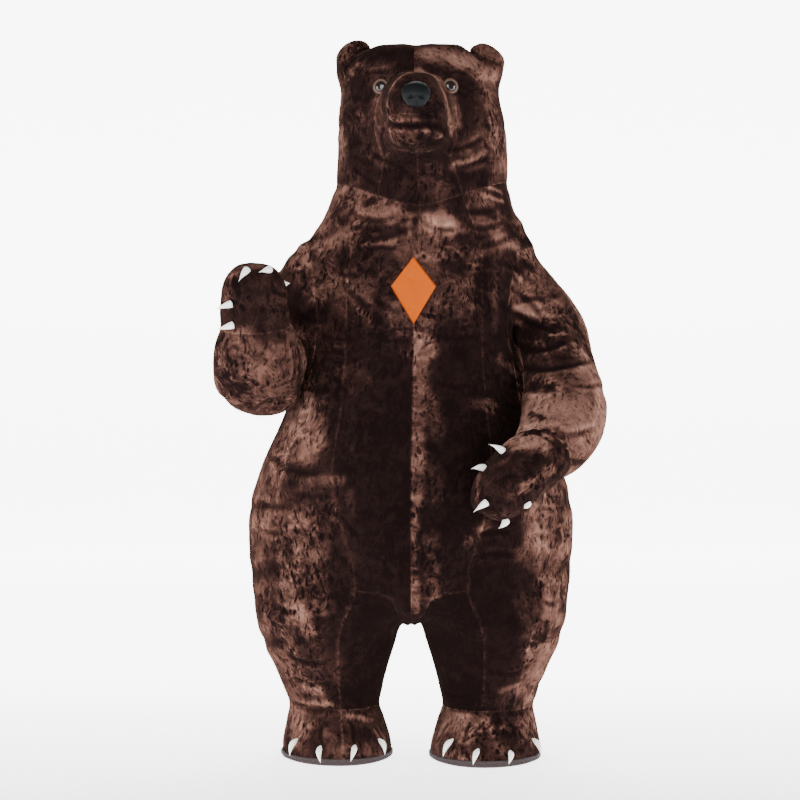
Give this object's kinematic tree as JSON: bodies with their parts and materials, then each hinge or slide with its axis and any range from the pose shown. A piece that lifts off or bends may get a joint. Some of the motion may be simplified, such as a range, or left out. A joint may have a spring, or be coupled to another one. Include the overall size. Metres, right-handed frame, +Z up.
{
  "type": "bear mascot costume",
  "caption": "Filled-out plush bear suit standing on its own flat soles, with one arm raised and one bent across the belly, closed at head, mitts and feet",
  "frame": {"origin": "under the middle of the suit's box, on the surface it stands on", "axes": "+X the wearer's left, -Y the front, +Z up"},
  "size_m": [1.3792, 1.1029, 2.6077],
  "materials": {
    "plush": "short crushed brown plush, nap lying in light and dark streaks",
    "orange_plush": "short orange plush",
    "claw_vinyl": "white stuffed vinyl",
    "sole_foam": "dark grey non-slip sole",
    "nose_vinyl": "blue-black satin vinyl",
    "eye_gloss": "glossy amber ring round a black pupil"
  },
  "bodies": {
    "root": {"front_l": "plush", "front_r": "plush", "flank_l": "plush", "flank_r": "plush", "side_l": "plush", "side_r": "plush", "back_l": "plush", "back_r": "plush", "inner_leg_l": "plush", "inner_leg_r": "plush", "sleeve_front_l": "plush", "sleeve_front_r": "plush", "sleeve_back_l": "plush", "sleeve_back_r": "plush", "mitt_front_l": "plush", "mitt_front_r": "plush", "mitt_back_l": "plush", "mitt_back_r": "plush", "foot_outer_l": "plush", "foot_outer_r": "plush", "foot_inner_l": "plush", "foot_inner_r": "plush", "head_l": "plush", "head_r": "plush", "throat_l": "plush", "throat_r": "plush", "ear_front_l": "plush", "ear_front_r": "plush", "ear_back_l": "plush", "ear_back_r": "plush", "muzzle": "plush", "jaw": "plush", "zip_cover": "plush", "chest_diamond": "orange_plush", "nose": "nose_vinyl", "eye_l": "eye_gloss", "eye_r": "eye_gloss", "sole_l": "sole_foam", "sole_r": "sole_foam", "claw_hand_l_1": "claw_vinyl", "claw_hand_l_2": "claw_vinyl", "claw_hand_l_3": "claw_vinyl", "claw_hand_l_4": "claw_vinyl", "claw_hand_l_5": "claw_vinyl", "claw_foot_l_1": "claw_vinyl", "claw_foot_l_2": "claw_vinyl", "claw_foot_l_3": "claw_vinyl", "claw_foot_l_4": "claw_vinyl", "claw_hand_r_1": "claw_vinyl", "claw_hand_r_2": "claw_vinyl", "claw_hand_r_3": "claw_vinyl", "claw_hand_r_4": "claw_vinyl", "claw_hand_r_5": "claw_vinyl", "claw_foot_r_1": "claw_vinyl", "claw_foot_r_2": "claw_vinyl", "claw_foot_r_3": "claw_vinyl", "claw_foot_r_4": "claw_vinyl"}
  },
  "joints": []
}
